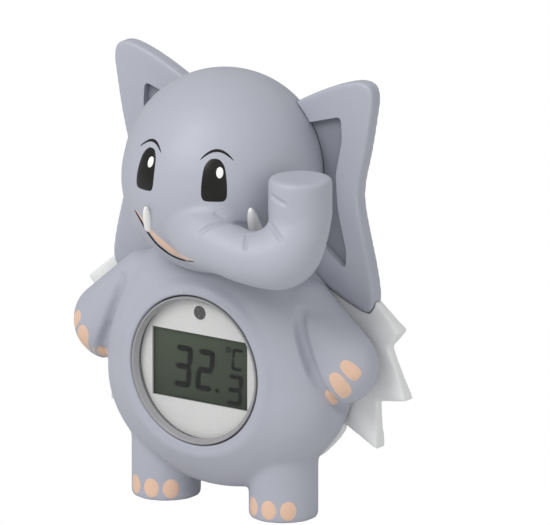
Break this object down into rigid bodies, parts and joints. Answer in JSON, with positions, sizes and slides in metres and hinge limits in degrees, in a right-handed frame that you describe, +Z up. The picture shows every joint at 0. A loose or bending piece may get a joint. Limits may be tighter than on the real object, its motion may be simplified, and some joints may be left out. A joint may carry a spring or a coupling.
{
  "type": "baby bath thermometer",
  "caption": "Elephant-shaped baby bath thermometer: hollow grey figure with a raised trunk, round tummy display, white splash plate behind and a rear battery drum",
  "frame": {"origin": "middle of the overall outline in plan, on the plane of the two soles", "axes": "+Z up; -Y is the way the display and the face look; +X is the figure's own left, the side of the raised trunk tip"},
  "size_m": [0.097, 0.0556, 0.1112],
  "materials": {
    "soft_grey": "satin",
    "white_plastic": "satin",
    "tusk_white": "satin",
    "peach_plastic": "satin",
    "eye_black": "gloss",
    "silver_plastic": "satin",
    "clear_plastic": "gloss",
    "dial_white": "matte",
    "display_glass": "gloss",
    "lamp_dark": "gloss",
    "seal_rubber": "matte",
    "board_green": "satin",
    "black_resin": "satin",
    "bright_steel": "satin"
  },
  "bodies": {
    "root": {"torso_shell": "soft_grey", "head_shell": "soft_grey", "ear_left": "soft_grey", "ear_right": "soft_grey", "rear_housing": "white_plastic", "battery_door": "white_plastic", "display_carrier": "white_plastic", "indicator_led": "white_plastic", "tusk_left": "tusk_white", "tusk_right": "tusk_white", "mouth_lip": "peach_plastic", "eye_left": "eye_black", "eye_right": "eye_black", "bezel_ring": "silver_plastic", "window_lens": "clear_plastic", "dial_plate": "dial_white", "display_glass": "display_glass", "lamp_window": "lamp_dark", "bezel_seal": "seal_rubber", "case_gasket": "seal_rubber", "door_seal": "seal_rubber", "contact_strip": "seal_rubber", "circuit_board": "board_green", "chip_cover": "black_resin", "buzzer": "black_resin", "temperature_bead": "black_resin", "coin_cell": "bright_steel", "contact_negative": "bright_steel", "contact_positive": "bright_steel", "sensor_cap": "bright_steel", "neck_clip": "bright_steel", "water_pin_left": "bright_steel", "water_pin_right": "bright_steel", "door_screw_1": "bright_steel", "door_screw_2": "bright_steel", "case_screw_1": "bright_steel", "case_screw_2": "bright_steel", "case_screw_3": "bright_steel", "case_screw_4": "bright_steel", "board_screw_1": "bright_steel", "board_screw_2": "bright_steel", "board_screw_3": "bright_steel", "board_screw_4": "bright_steel"}
  },
  "joints": []
}
